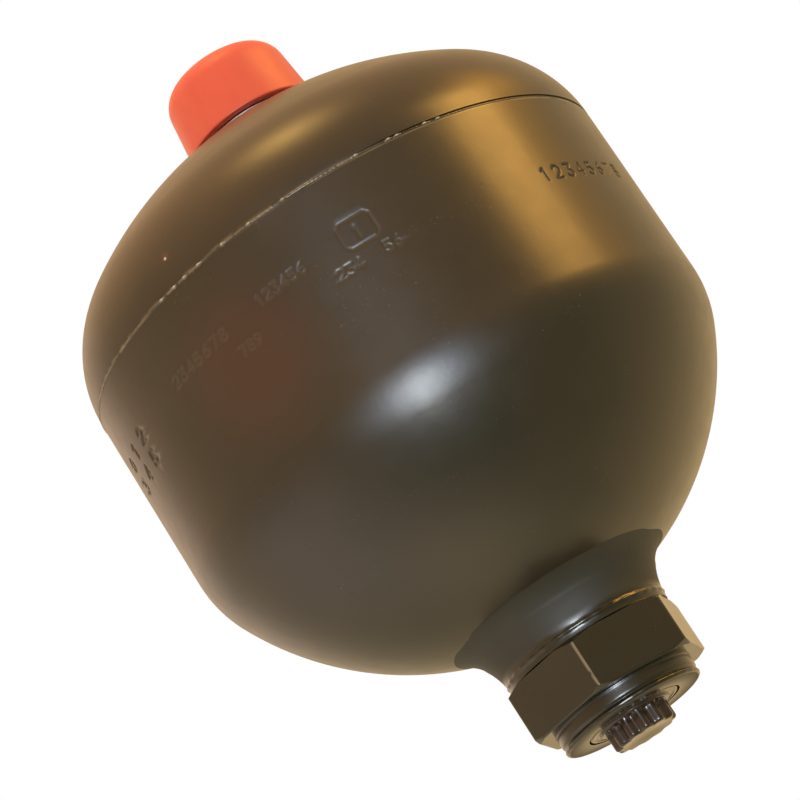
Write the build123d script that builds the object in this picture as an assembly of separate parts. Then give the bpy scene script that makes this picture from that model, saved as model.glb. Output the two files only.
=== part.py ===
"""Welded 1 litre gas-charged hydraulic accumulator with a moulded bladder, AF 41 hex port and capped gas valve.

Millimetres. +Z runs up the vessel axis from the fluid port to the gas valve.
The origin is the centre of the port's sealing face.
"""
from build123d import *
import math
import os

# ---- Port fitting ---------------------------------------------------------------------------
HEX_AF = 41.0            # wrench size
HEX_TURN = 30.0          # hexagon corner, degrees about +Z from +X; flats face +X and -X
HEX_BOTTOM_Z = 4.9
HEX_TOP_Z = 18.5
HEX_CHAMFER_ANGLE = 30.0
HEX_CORNER_ROUND = 0.6
HEX_TOP_CHAMFER_R = HEX_AF / 2 + 0.6     # turned face left on top of the hexagon
HEX_BOTTOM_CHAMFER_R = HEX_AF / 2 + 1.4  # the same below
COLLAR_R = HEX_AF / 2 - 2.7              # round end below the hexagon
COLLAR_CHAMFER = 1.0
NECK_R = HEX_AF / 2 + 0.3                # the flats are milled just inside it
NECK_FLARE = 2.2
NECK_SHOULDER_R = NECK_R + NECK_FLARE
SPIGOT_R = NECK_SHOULDER_R - 1.2         # spigot in the bottom hole of the shell
WELD_RIDGE_R = NECK_SHOULDER_R + 0.3
WELD_RIDGE_RISE = 0.7
WELD_TOE_R = WELD_RIDGE_R + 4.8          # where the port weld runs out on the shell
WELD_HOLLOW = 0.35       # how far its face is hollowed
PORT_BORE_R = 9.315      # minor radius of the G 1/2 pipe thread
PORT_THREAD_LENGTH = 13.7
MOUTH_STEP = 1.3         # relieved mouth, just over the thread's major radius
MOUTH_DEPTH = 5.0
MOUTH_R = PORT_BORE_R + MOUTH_STEP
PORT_BORE_START = MOUTH_DEPTH + MOUTH_STEP
PORT_BORE_END = PORT_BORE_START + PORT_THREAD_LENGTH
RECESS_R = MOUTH_R + 1.4 # turned recess of the port mouth
RECESS_DEPTH = 1.2
PASSAGE_R = 5.0          # fluid passage above the thread
PASSAGE_CHAMFER = 1.5
DRILL_TIP_ANGLE = 31.0

# ---- Vessel, from the floor up --------------------------------------------------------------
BODY_R = 68.0            # outside radius of the straight band
WALL = 6.0               # shell wall, both halves
FLOOR_Z = 26.2           # lowest point of the shell's skin
LOWER_DEPTH = 53.1       # outside depth of the lower torispherical head
LOWER_KNUCKLE_R = 27.8
BAND_BOTTOM_Z = FLOOR_Z + LOWER_DEPTH
BAND_LENGTH = 44.7
SEAM_Z = BAND_BOTTOM_Z + BAND_LENGTH     # butt joint of the two halves
UPPER_LAND = 0.5         # straight edge of the upper half
UPPER_DEPTH = 42.1
UPPER_KNUCKLE_R = 28.2
DOME_START_Z = SEAM_Z + UPPER_LAND
SEAM_HALF_WIDTH = 0.42   # welded V at the outside of the joint
SEAM_DEPTH = 4.0
SEAM_SINK = 0.35         # how far the weld lies below the skin
NECK_SHOULDER_Z = FLOOR_Z + 0.8
FITTING_TOP_Z = FLOOR_Z + WALL + 1.8     # seat of the closing plate

# ---- Bladder and its clamp ------------------------------------------------------------------
BORE_R = BODY_R - WALL
LEDGE_DEPTH = 20.0       # counterbore below the joint
LEDGE_Z = SEAM_Z - LEDGE_DEPTH           # shoulder that carries the bead
COUNTERBORE_STEP = 1.5
COUNTERBORE_R = BORE_R + COUNTERBORE_STEP
BLADDER_GAP = 0.25       # bladder to shell
BLADDER_WALL = 2.6
BEAD_WIDTH = 4.6
BEAD_HEIGHT = 6.0
BEAD_CHAMFER = 1.0
PLATE_R = 13.0           # closing plate
PLATE_THICKNESS = 3.0
PLATE_CHAMFER = 0.8
BLADDER_FLOOR_Z = FITTING_TOP_Z + PLATE_THICKNESS
STEM_R = 4.0             # its stem through the rubber
RIVET_R = 7.0            # and the head above it
RIVET_HEIGHT = 2.0
RIVET_CHAMFER = 1.0
RING_LIP = 2.2           # clamp ring: thickness of the lip inside the bead
RING_LIP_DROP = 4.6      # and how far it reaches down over the bead
RING_FIT = 0.05          # ring to counterbore

# ---- Gas side -------------------------------------------------------------------------------
BOSS_SPIGOT_R = 11.0     # through the top hole of the dome
BOSS_HEIGHT = 16.8       # above its seat on the dome
BOSS_THREAD_R = 14.0     # M28 x 1.5
BOSS_PITCH = 1.5
BOSS_THREAD_DEPTH = 0.92
BOSS_UNDERCUT_R = BOSS_THREAD_R - 1.3
BOSS_UNDERCUT_WIDTH = 1.5
BOSS_THREAD_START = 0.4  # undercut to the first root of the thread
BOSS_SHOULDER_R = BOSS_THREAD_R + 1.0
BOSS_SHOULDER_HEIGHT = 3.0
BOSS_WELD_DROP = 0.7     # weld below the shoulder's edge
BOSS_WELD_TOE_R = BOSS_SHOULDER_R + 3.2
SEAL_HEIGHT = 1.6        # ring under the screw head
SEAL_R = 6.6
SCREW_R = 4.0            # M8
SCREW_LENGTH = 10.0      # shank under the head
SCREW_HOLE_DEPTH = SCREW_LENGTH + 2.0
SCREW_FIT = 0.05
HEAD_R = 6.5
HEAD_HEIGHT = 7.0
SOCKET_AF = 6.0
SOCKET_DEPTH = 4.5
HEAD_SINK = 0.5          # screw head below the top of the boss
POCKET_R = HEAD_R + 2.0
POCKET_DEPTH = SEAL_HEIGHT + HEAD_HEIGHT + HEAD_SINK
GAS_HOLE_R = 1.6

# ---- Valve cap and port plug ----------------------------------------------------------------
CAP_FIT = 0.12           # cap bore to thread
CAP_BORE_R = BOSS_THREAD_R + CAP_FIT
CAP_BASE_WALL = 2.88     # the cap tapers outside round a straight bore
CAP_TOP_WALL = 1.03
CAP_ROOF = 2.2
CAP_HEADROOM = 2.8       # roof to the top of the boss
CAP_EDGE_R = 6.5
CAP_CORNER_R = CAP_EDGE_R / 2            # round inside, under that edge
CAP_RIM_R = 0.5
PLUG_FLANGE_R = RECESS_R - 0.4
PLUG_SHANK_R = MOUTH_R - 0.08
PLUG_SHANK_END = MOUTH_DEPTH - 0.4       # the shank stops short of the thread
PLUG_SHANK_WALL = 2.3    # round the moulded hollow
PLUG_LEAD = 1.0          # chamfer at the end of the shank
PLUG_KNOB_R = 8.0        # over the ribs
PLUG_KNOB_LENGTH = 5.3
PLUG_KNOB_CHAMFER = 0.6
PLUG_WEB = 1.0           # moulded wall across the shank
PLUG_FLUTES = 12
PLUG_FLUTE_R = 1.25
PLUG_FLUTE_DEPTH = 0.9


def path(points):
    """Closed face in the XZ half plane through (r, z) points joined by straight lines."""
    return make_face(Polyline(*[(r, 0, z) for r, z in points], close=True))


def turned(points):
    """Solid of revolution about Z of a closed chain of (r, z) points."""
    return revolve(path(points), Axis.Z)


def cylinder(radius, bottom, top):
    """Plain cylinder on the axis."""
    return turned([(0, bottom), (radius, bottom), (radius, top), (0, top)])


def crown_radius(knuckle, depth):
    """Outside crown radius of a torispherical head, tangent to its knuckle, from its depth."""
    return (depth ** 2 + BODY_R ** 2 - 2 * BODY_R * knuckle) / (2 * (depth - knuckle))


def head(tangent_z, far_z, knuckle, depth, side, offset=0.0):
    """Solid inside one head and its straight part up to far_z.

    side is +1 for a head that closes upwards and -1 for one that closes downwards.
    offset moves the whole skin inwards.
    """
    crown = crown_radius(knuckle, depth)
    centre = tangent_z - side * (crown - depth)
    lean = math.atan2(crown - depth, BODY_R - knuckle)
    radius = BODY_R - offset

    def on_knuckle(angle):
        return (BODY_R - knuckle + (knuckle - offset) * math.cos(angle), 0,
                tangent_z + side * (knuckle - offset) * math.sin(angle))

    def on_crown(angle):
        return ((crown - offset) * math.cos(angle), 0, centre + side * (crown - offset) * math.sin(angle))

    apex = (0, 0, centre + side * (crown - offset))
    edges = [
        Line((0, 0, far_z), (radius, 0, far_z)),
        Line((radius, 0, far_z), (radius, 0, tangent_z)),
        ThreePointArc((radius, 0, tangent_z), on_knuckle(lean / 2), on_knuckle(lean)),
        ThreePointArc(on_knuckle(lean), on_crown((lean + math.pi / 2) / 2), apex),
        Line(apex, (0, 0, far_z)),
    ]
    return revolve(make_face(edges), Axis.Z)


def lower_head(offset=0.0, top=SEAM_Z):
    """Solid inside the lower half's skin, moved inwards by offset."""
    return head(BAND_BOTTOM_Z, top, LOWER_KNUCKLE_R, LOWER_DEPTH, -1, offset)


def upper_head(offset=0.0):
    """Solid inside the upper half's skin, moved inwards by offset."""
    return head(DOME_START_Z, SEAM_Z, UPPER_KNUCKLE_R, UPPER_DEPTH, 1, offset)


def dome_z(radius, offset=0.0):
    """Height of the upper crown at a radius."""
    crown = crown_radius(UPPER_KNUCKLE_R, UPPER_DEPTH)
    return DOME_START_Z + UPPER_DEPTH - crown + math.sqrt((crown - offset) ** 2 - radius ** 2)


def floor_z(radius):
    """Height of the lower crown's skin at a radius."""
    crown = crown_radius(LOWER_KNUCKLE_R, LOWER_DEPTH)
    return FLOOR_Z + crown - math.sqrt(crown ** 2 - radius ** 2)


def skin_arc(height, first, last):
    """Arc of a crown's skin between two radii, where height gives the skin's height at a radius."""
    middle = (first + last) / 2
    return ThreePointArc(*[(radius, 0, height(radius)) for radius in (first, middle, last)])


def seam_vee(outer):
    """Ring of the V joint between the halves, out to a radius."""
    tip = BODY_R - SEAM_DEPTH
    half = SEAM_HALF_WIDTH * (outer - tip) / SEAM_DEPTH
    return turned([(tip, SEAM_Z), (outer, SEAM_Z - half), (outer, SEAM_Z + half)])


def make_lower_shell():
    """Drawn cup with the bladder's counterbore and the port hole."""
    cup = lower_head() - lower_head(WALL)
    cup -= cylinder(COUNTERBORE_R, LEDGE_Z, SEAM_Z)
    cup -= cylinder(SPIGOT_R, 0, LEDGE_Z / 2)
    return cup - seam_vee(BODY_R + 1)


def make_upper_shell():
    """Shallow dome with the hole for the gas boss."""
    dome = upper_head() - upper_head(WALL)
    dome -= cylinder(BOSS_SPIGOT_R, SEAM_Z + WALL, boss_top_z())
    return dome - seam_vee(BODY_R + 1)


def make_seam_weld():
    """Narrow ring weld that joins the halves, a little below the skin."""
    return seam_vee(BODY_R - SEAM_SINK)


def hexagon():
    """Wrench hexagon with turned chamfers at both ends."""
    corner = HEX_AF / math.sqrt(3)
    slope = math.tan(math.radians(HEX_CHAMFER_ANGLE))
    outline = RegularPolygon(corner, 6)
    outline = fillet(outline.vertices(), HEX_CORNER_ROUND)
    prism = Pos(0, 0, HEX_BOTTOM_Z) * Rot(0, 0, HEX_TURN) * extrude(outline, HEX_TOP_Z - HEX_BOTTOM_Z)
    over = corner + 2
    envelope = turned([
        (0, HEX_BOTTOM_Z),
        (HEX_BOTTOM_CHAMFER_R, HEX_BOTTOM_Z),
        (over, HEX_BOTTOM_Z + (over - HEX_BOTTOM_CHAMFER_R) * slope),
        (over, HEX_TOP_Z - (over - HEX_TOP_CHAMFER_R) * slope),
        (HEX_TOP_CHAMFER_R, HEX_TOP_Z),
        (0, HEX_TOP_Z),
    ])
    return prism & envelope


def neck():
    """Flared neck between the hexagon and the shell, with the spigot on top."""
    rise = NECK_SHOULDER_Z - HEX_TOP_Z
    flare = NECK_SHOULDER_R - NECK_R
    radius = (rise ** 2 + flare ** 2) / (2 * flare)
    half = math.asin(rise / radius) / 2
    middle = (NECK_R + radius * (1 - math.cos(half)), 0, HEX_TOP_Z + radius * math.sin(half))
    edges = [
        Line((0, 0, HEX_TOP_Z), (NECK_R, 0, HEX_TOP_Z)),
        ThreePointArc((NECK_R, 0, HEX_TOP_Z), middle, (NECK_SHOULDER_R, 0, NECK_SHOULDER_Z)),
        Line((NECK_SHOULDER_R, 0, NECK_SHOULDER_Z), (SPIGOT_R, 0, NECK_SHOULDER_Z)),
        Line((SPIGOT_R, 0, NECK_SHOULDER_Z), (SPIGOT_R, 0, FITTING_TOP_Z)),
        Line((SPIGOT_R, 0, FITTING_TOP_Z), (0, 0, FITTING_TOP_Z)),
        Line((0, 0, FITTING_TOP_Z), (0, 0, HEX_TOP_Z)),
    ]
    return revolve(make_face(edges), Axis.Z)


def make_port_fitting():
    """Turned and milled fluid port: collar, hexagon, neck and bored thread."""
    collar = turned([
        (0, 0), (COLLAR_R - COLLAR_CHAMFER, 0), (COLLAR_R, COLLAR_CHAMFER), (COLLAR_R, HEX_BOTTOM_Z),
        (0, HEX_BOTTOM_Z),
    ])
    drill_tip = PORT_BORE_END + (PORT_BORE_R - PASSAGE_R) * math.tan(math.radians(DRILL_TIP_ANGLE))
    bore = turned([
        (0, -1), (RECESS_R, -1), (RECESS_R, RECESS_DEPTH), (MOUTH_R, RECESS_DEPTH),
        (MOUTH_R, MOUTH_DEPTH), (PORT_BORE_R, PORT_BORE_START),
        (PORT_BORE_R, PORT_BORE_END), (PASSAGE_R, drill_tip),
        (PASSAGE_R, FITTING_TOP_Z - PASSAGE_CHAMFER), (PASSAGE_R + PASSAGE_CHAMFER, FITTING_TOP_Z),
        (PASSAGE_R + PASSAGE_CHAMFER, FITTING_TOP_Z + 1), (0, FITTING_TOP_Z + 1),
    ])
    return collar + hexagon() + neck() - bore


def make_port_weld():
    """Fillet weld round the neck, ridge at its lower edge, run out on the shell."""
    low = (NECK_SHOULDER_R, 0, NECK_SHOULDER_Z)
    ridge = (WELD_RIDGE_R, 0, NECK_SHOULDER_Z + WELD_RIDGE_RISE)
    toe = (WELD_TOE_R, 0, floor_z(WELD_TOE_R))
    hollow = ((ridge[0] + toe[0]) / 2 - WELD_HOLLOW, 0, (ridge[2] + toe[2]) / 2 + WELD_HOLLOW)
    edges = [
        Line((SPIGOT_R, 0, NECK_SHOULDER_Z), low),
        Line(low, ridge),
        ThreePointArc(ridge, hollow, toe),
        skin_arc(floor_z, WELD_TOE_R, SPIGOT_R),
        Line((SPIGOT_R, 0, floor_z(SPIGOT_R)), (SPIGOT_R, 0, NECK_SHOULDER_Z)),
    ]
    return revolve(make_face(edges), Axis.Z)


def make_bladder():
    """Moulded rubber bag that lines the lower half, with its bead on the ledge."""
    bag = lower_head(WALL + BLADDER_GAP, LEDGE_Z) - lower_head(WALL + BLADDER_GAP + BLADDER_WALL, LEDGE_Z)
    keep_above = cylinder(BODY_R, BLADDER_FLOOR_Z, LEDGE_Z)
    crown = crown_radius(LOWER_KNUCKLE_R, LOWER_DEPTH)
    floor_radius = math.sqrt((crown - WALL - BLADDER_GAP) ** 2 - (FLOOR_Z + crown - BLADDER_FLOOR_Z) ** 2)
    pad = cylinder(floor_radius, BLADDER_FLOOR_Z, BLADDER_FLOOR_Z + BLADDER_WALL)
    bag = (bag & keep_above) + (pad & lower_head(WALL + BLADDER_GAP, LEDGE_Z))
    bead_in = COUNTERBORE_R - BEAD_WIDTH
    bead = turned([
        (bead_in, LEDGE_Z), (COUNTERBORE_R, LEDGE_Z), (COUNTERBORE_R, LEDGE_Z + BEAD_HEIGHT - BEAD_CHAMFER),
        (COUNTERBORE_R - BEAD_CHAMFER, LEDGE_Z + BEAD_HEIGHT), (bead_in, LEDGE_Z + BEAD_HEIGHT),
    ])
    return bag + bead - cylinder(STEM_R, BLADDER_FLOOR_Z - 1, BLADDER_FLOOR_Z + 2 * BLADDER_WALL)


def make_closing_plate():
    """Plate on the fluid side of the bladder, its stem through the rubber and the rivet head above."""
    over = BLADDER_FLOOR_Z + BLADDER_WALL
    return turned([
        (0, FITTING_TOP_Z), (PLATE_R - PLATE_CHAMFER, FITTING_TOP_Z), (PLATE_R, FITTING_TOP_Z + PLATE_CHAMFER),
        (PLATE_R, BLADDER_FLOOR_Z), (STEM_R, BLADDER_FLOOR_Z), (STEM_R, over), (RIVET_R, over),
        (RIVET_R - RIVET_CHAMFER, over + RIVET_HEIGHT), (0, over + RIVET_HEIGHT),
    ])


def make_clamp_ring():
    """Steel ring that holds the bead on the ledge and is trapped under the upper half."""
    outer = COUNTERBORE_R - RING_FIT
    inner = COUNTERBORE_R - BEAD_WIDTH
    over = LEDGE_Z + BEAD_HEIGHT
    return turned([
        (inner - RING_LIP, over - RING_LIP_DROP), (inner, over - RING_LIP_DROP), (inner, over), (outer, over),
        (outer, SEAM_Z), (inner, SEAM_Z), (inner - RING_LIP, SEAM_Z - RING_LIP),
    ])


def boss_thread(bottom, top):
    """Thread drawn as parallel V ridges, outline points from bottom to top."""
    points = []
    count = int((top - bottom) / BOSS_PITCH)
    for index in range(count):
        z = bottom + index * BOSS_PITCH
        points += [(BOSS_THREAD_R - BOSS_THREAD_DEPTH, z), (BOSS_THREAD_R, z + 0.45 * BOSS_PITCH),
                   (BOSS_THREAD_R, z + 0.55 * BOSS_PITCH)]
    return points + [(BOSS_THREAD_R - BOSS_THREAD_DEPTH, bottom + count * BOSS_PITCH)]


def boss_top_z():
    """Top of the gas boss, over its seat on the dome."""
    return dome_z(BOSS_SPIGOT_R) + BOSS_HEIGHT


def make_gas_boss():
    """Turned boss with the cap thread, the screw pocket and the gas hole."""
    seat = dome_z(BOSS_SPIGOT_R)
    bottom = dome_z(BOSS_SPIGOT_R, WALL)
    shoulder = seat + BOSS_SHOULDER_HEIGHT
    top = boss_top_z()
    boss = turned([
        (0, bottom), (BOSS_SPIGOT_R, bottom), (BOSS_SPIGOT_R, seat), (BOSS_SHOULDER_R, seat),
        (BOSS_SHOULDER_R, shoulder), (BOSS_UNDERCUT_R, shoulder),
        (BOSS_UNDERCUT_R, shoulder + BOSS_UNDERCUT_WIDTH),
        *boss_thread(shoulder + BOSS_UNDERCUT_WIDTH + BOSS_THREAD_START, top), (0, top),
    ])
    floor = top - POCKET_DEPTH
    boss -= cylinder(POCKET_R, floor, top + 1)
    boss -= cylinder(SCREW_R + SCREW_FIT, floor - SCREW_HOLE_DEPTH, floor + 1)
    return boss - cylinder(GAS_HOLE_R, bottom - 1, floor)


def make_gas_boss_weld():
    """Fillet weld round the boss shoulder, run out on the dome."""
    seat = dome_z(BOSS_SPIGOT_R)
    top = seat + BOSS_SHOULDER_HEIGHT - BOSS_WELD_DROP
    outline = [
        (BOSS_SPIGOT_R, 0, seat), (BOSS_SHOULDER_R, 0, seat), (BOSS_SHOULDER_R, 0, top),
        (BOSS_SHOULDER_R + BOSS_WELD_DROP, 0, top - BOSS_WELD_DROP),
        (BOSS_WELD_TOE_R, 0, dome_z(BOSS_WELD_TOE_R)),
    ]
    edges = [*Polyline(*outline).edges(), skin_arc(dome_z, BOSS_WELD_TOE_R, BOSS_SPIGOT_R)]
    return revolve(make_face(edges), Axis.Z)


def screw_seat_z():
    """Underside of the charging screw's head."""
    return boss_top_z() - POCKET_DEPTH + SEAL_HEIGHT


def make_charging_screw():
    """M8 socket screw that closes the gas side."""
    seat = screw_seat_z()
    screw = turned([
        (0, seat - SCREW_LENGTH), (SCREW_R - 0.8, seat - SCREW_LENGTH), (SCREW_R, seat - SCREW_LENGTH + 0.8),
        (SCREW_R, seat), (HEAD_R, seat), (HEAD_R, seat + HEAD_HEIGHT - 0.6),
        (HEAD_R - 0.6, seat + HEAD_HEIGHT), (0, seat + HEAD_HEIGHT),
    ])
    socket = Pos(0, 0, seat + HEAD_HEIGHT - SOCKET_DEPTH) * extrude(
        RegularPolygon(SOCKET_AF / math.sqrt(3), 6), SOCKET_DEPTH + 1)
    return screw - socket


def make_charging_seal():
    """Soft ring between the screw head and the pocket floor."""
    seat = screw_seat_z()
    inner = SCREW_R + SCREW_FIT
    return turned([
        (inner, seat - SEAL_HEIGHT), (SEAL_R, seat - SEAL_HEIGHT), (SEAL_R, seat), (inner, seat),
    ])


def make_valve_cap():
    """Tapered plastic cap over the gas boss."""
    base = dome_z(BOSS_SPIGOT_R) + BOSS_SHOULDER_HEIGHT
    roof = boss_top_z() + CAP_HEADROOM
    top = roof + CAP_ROOF
    cap = turned([(0, base), (CAP_BORE_R + CAP_BASE_WALL, base), (CAP_BORE_R + CAP_TOP_WALL, top), (0, top)])
    cap = fillet(cap.edges().group_by(Axis.Z)[-1], CAP_EDGE_R)
    core = cylinder(CAP_BORE_R, base - 1, roof)
    cap -= fillet(core.edges().group_by(Axis.Z)[-1], CAP_CORNER_R)
    rim = cap.edges().filter_by(GeomType.CIRCLE).group_by(Axis.Z)[0].sort_by(SortBy.RADIUS)[-1]
    return fillet(rim, CAP_RIM_R)


def make_port_plug():
    """Moulded plug: ribbed knob, thin flange in the port recess and hollow shank."""
    knob_end = -PLUG_KNOB_LENGTH
    hollow = PLUG_SHANK_R - PLUG_SHANK_WALL
    plug = turned([
        (0, knob_end), (PLUG_KNOB_R - PLUG_KNOB_CHAMFER, knob_end), (PLUG_KNOB_R, knob_end + PLUG_KNOB_CHAMFER),
        (PLUG_KNOB_R, 0), (PLUG_FLANGE_R, 0), (PLUG_FLANGE_R, RECESS_DEPTH), (PLUG_SHANK_R, RECESS_DEPTH),
        (PLUG_SHANK_R, PLUG_SHANK_END - PLUG_LEAD), (PLUG_SHANK_R - PLUG_LEAD, PLUG_SHANK_END),
        (hollow, PLUG_SHANK_END), (hollow, RECESS_DEPTH + PLUG_WEB), (0, RECESS_DEPTH + PLUG_WEB),
    ])
    reach = PLUG_KNOB_R + PLUG_FLUTE_R - PLUG_FLUTE_DEPTH
    flute = Pos(reach, 0, knob_end / 2 - 0.5) * Cylinder(PLUG_FLUTE_R, PLUG_KNOB_LENGTH + 1)
    for index in range(PLUG_FLUTES):
        plug -= Rot(0, 0, index * 360 / PLUG_FLUTES) * flute
    return plug


PARTS = {
    "lower_shell": make_lower_shell,
    "upper_shell": make_upper_shell,
    "seam_weld": make_seam_weld,
    "port_fitting": make_port_fitting,
    "port_weld": make_port_weld,
    "bladder": make_bladder,
    "closing_plate": make_closing_plate,
    "clamp_ring": make_clamp_ring,
    "gas_boss": make_gas_boss,
    "gas_boss_weld": make_gas_boss_weld,
    "charging_screw": make_charging_screw,
    "charging_seal": make_charging_seal,
    "valve_cap": make_valve_cap,
    "port_plug": make_port_plug,
}

os.makedirs("parts", exist_ok=True)
for name, make in PARTS.items():
    export_step(make(), os.path.join("parts", name + ".step"))
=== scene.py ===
"""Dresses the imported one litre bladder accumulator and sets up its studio.

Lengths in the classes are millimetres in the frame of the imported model: +Z runs up the vessel axis
from the fluid port to the gas valve, and the origin is the centre of the port's sealing face.
"""

import logging
import math
from dataclasses import dataclass, field
from enum import Enum
from typing import Any, Callable, Sequence

import bmesh
import bpy
import numpy as np
from mathutils import Matrix, Quaternion, Vector


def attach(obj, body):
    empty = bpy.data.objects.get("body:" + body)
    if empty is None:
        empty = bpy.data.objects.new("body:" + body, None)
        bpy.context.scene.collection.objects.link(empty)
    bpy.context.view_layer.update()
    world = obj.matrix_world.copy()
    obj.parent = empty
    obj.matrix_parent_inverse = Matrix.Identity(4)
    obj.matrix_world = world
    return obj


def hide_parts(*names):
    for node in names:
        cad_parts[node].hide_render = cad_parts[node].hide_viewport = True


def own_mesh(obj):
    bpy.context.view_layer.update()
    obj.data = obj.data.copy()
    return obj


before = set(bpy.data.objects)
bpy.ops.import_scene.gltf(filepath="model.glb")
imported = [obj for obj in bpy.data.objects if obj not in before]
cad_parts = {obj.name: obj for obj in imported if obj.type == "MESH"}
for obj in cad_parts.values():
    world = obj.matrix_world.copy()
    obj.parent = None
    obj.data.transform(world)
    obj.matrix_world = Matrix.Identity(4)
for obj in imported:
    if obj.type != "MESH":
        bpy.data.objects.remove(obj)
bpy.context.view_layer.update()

LOG = logging.getLogger("accumulator")
MM = 0.001
TURN = 2 * math.pi
QUARTER = math.pi / 2
SHARP_EDGE = math.radians(28)
TINY = 1e-6

Array = np.ndarray
Colour = tuple[float, float, float]
Material = bpy.types.Material


class Body(Enum):
    """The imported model's bodies that new pieces ride on."""

    VESSEL = "vessel"
    CAP = "cap"
    PLUG = "plug"


class Slot(Enum):
    """The record's material slots."""

    PAINT = "vessel_paint"
    ZINC = "zinc_steel"
    BLADDER = "bladder_rubber"
    CAP = "cap_plastic"
    PLUG = "plug_plastic"


# ---- Profiles and grids ----


def line(start: Sequence[float], end: Sequence[float], count: int = 1) -> Array:
    """Points (radius, height) of a straight run: start (1 - t) + end t, for count equal steps."""
    steps = np.linspace(0.0, 1.0, count + 1)[:, None]
    return np.asarray(start, float) * (1 - steps) + np.asarray(end, float) * steps


def arc(centre: Sequence[float], radius: float, first: float, last: float, count: int) -> Array:
    """Points of a circular run: centre + radius (cos a, sin a), for count equal steps of a."""
    angles = np.linspace(first, last, count + 1)
    return np.asarray(centre, float) + radius * np.stack([np.cos(angles), np.sin(angles)], 1)


def chain(*runs: Array) -> Array:
    """Joins runs of (radius, height) points and drops each point that repeats the one before."""
    points = np.concatenate([np.atleast_2d(run) for run in runs])
    return points[np.r_[True, np.linalg.norm(np.diff(points, axis=0), axis=1) > TINY]]


def even_turns(count: int) -> Array:
    """Equally spaced angles of a full turn, without the repeated last one."""
    return np.linspace(0.0, TURN, count, endpoint=False)


def eased(values: Array) -> Array:
    """Values held between 0 and 1."""
    return np.clip(values, 0, 1)


def bell(distance: Array, reach: float) -> Array:
    """A smooth hump: e to the -(distance / reach) squared."""
    return np.exp(-(distance / reach) ** 2)


def spread(profile: Array, turns: Array) -> tuple[Array, Array, Array]:
    """Angle, radius and height of every point of a turned grid, each (points, turns) large."""
    parts = turns[None], profile[:, :1], profile[:, 1:]
    return tuple(np.broadcast_to(part, (len(profile), len(turns))).copy() for part in parts)


def turned(angle: Array, radius: Array, height: Array) -> Array:
    """Points (r cos a, r sin a, z) of arrays of angle, radius and height."""
    return np.stack([radius * np.cos(angle), radius * np.sin(angle), height], 2)


def lathe(profile: Array, turns: Array, move: Array | float = 0.0) -> Array:
    """Carries a profile round the axis, each point moved along the profile's normal.

    Args:
        profile: (n, 2) radius and height of the profile's points.
        turns: (m,) angles in radians.
        move: how far each of the (n, m) points moves outwards.

    Returns:
        (n, m, 3) points.
    """
    angle, radius, height = spread(profile, turns)
    slope = np.gradient(profile, axis=0)
    normal = np.stack([slope[:, 1], -slope[:, 0]], 1)
    normal /= np.maximum(np.linalg.norm(normal, axis=1, keepdims=True), 1e-9)
    return turned(angle, radius + move * normal[:, :1], height + move * normal[:, 1:])


def thread_groove(angle: Array, height: Array, start: float, pitch: float,
                  flank: float = 1.25) -> Array:
    """Share of a thread's depth: a V of the turn number (z - start) / pitch - a / turn."""
    phase = ((height - start) / pitch - angle / TURN) % 1.0
    return eased(flank - np.abs(phase - 0.5) * 2 * flank)


def new_object(name: str, data: bpy.types.ID) -> bpy.types.Object:
    """Makes an object and links it to the scene.

    Args:
        name: its name.
        data: its mesh, light or camera.

    Returns:
        The object.
    """
    made = bpy.data.objects.new(name, data)
    bpy.context.scene.collection.objects.link(made)
    return made


def build_piece(name: str, points: Array, node: str, finish: Material, slot: Slot = Slot.PAINT,
                body: Body = Body.VESSEL, closed: bool = True, **fields: Array) -> bpy.types.Object:
    """Makes a piece from a grid of points that closes on itself in its second direction.

    Each face joins point (i, j) to (i, j + 1), (i + 1, j + 1) and (i + 1, j). Rows on the axis
    are merged into a pole, and the faces are turned outwards.

    Args:
        name: the piece's name.
        points: (n, m, 3) points in millimetres.
        node: the CAD node that it replaces.
        finish: its material.
        slot: the record's slot of its finish; not used.
        body: the body that it rides on.
        closed: whether the last row joins the first one too.
        fields: named values for every point, kept as attributes of the mesh.

    Returns:
        The new object, smooth except at sharp edges.
    """
    index = np.arange(points.shape[0] * points.shape[1]).reshape(points.shape[:2])
    here = index if closed else index[:-1]
    above = np.roll(index, -1, 0) if closed else index[1:]
    faces = np.stack([here, np.roll(here, -1, 1), np.roll(above, -1, 1), above], 2).reshape(-1, 4)
    mesh = bpy.data.meshes.new(name)
    mesh.from_pydata((points * MM).reshape(-1, 3), [], faces)
    for key, values in fields.items():
        values = values.astype(np.float32).ravel()
        mesh.attributes.new(key, "FLOAT", "POINT").data.foreach_set("value", values)
    work = bmesh.new()
    work.from_mesh(mesh)
    bmesh.ops.remove_doubles(work, verts=work.verts, dist=TINY)
    bmesh.ops.recalc_face_normals(work, faces=work.faces)
    work.to_mesh(mesh)
    work.free()
    mesh.polygons.foreach_set("use_smooth", np.ones(len(mesh.polygons), bool))
    mesh.set_sharp_from_angle(angle=SHARP_EDGE)
    mesh.materials.append(finish)
    piece = new_object(name, mesh)
    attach(piece, body.value)
    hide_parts(node)
    LOG.info("%s: %d faces on %s", name, len(mesh.polygons), body.value)
    return piece


def dress(node: str, finish: Material) -> None:
    """Gives a CAD node that stays in view its finish.

    Args:
        node: the CAD node's name.
        finish: its material.
    """
    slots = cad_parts[node].material_slots
    for slot in slots:
        slot.material = finish
    if not slots:
        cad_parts[node].data.materials.append(finish)
    LOG.info("%s: dressed", node)


# ---- Shader expressions ----


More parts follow.
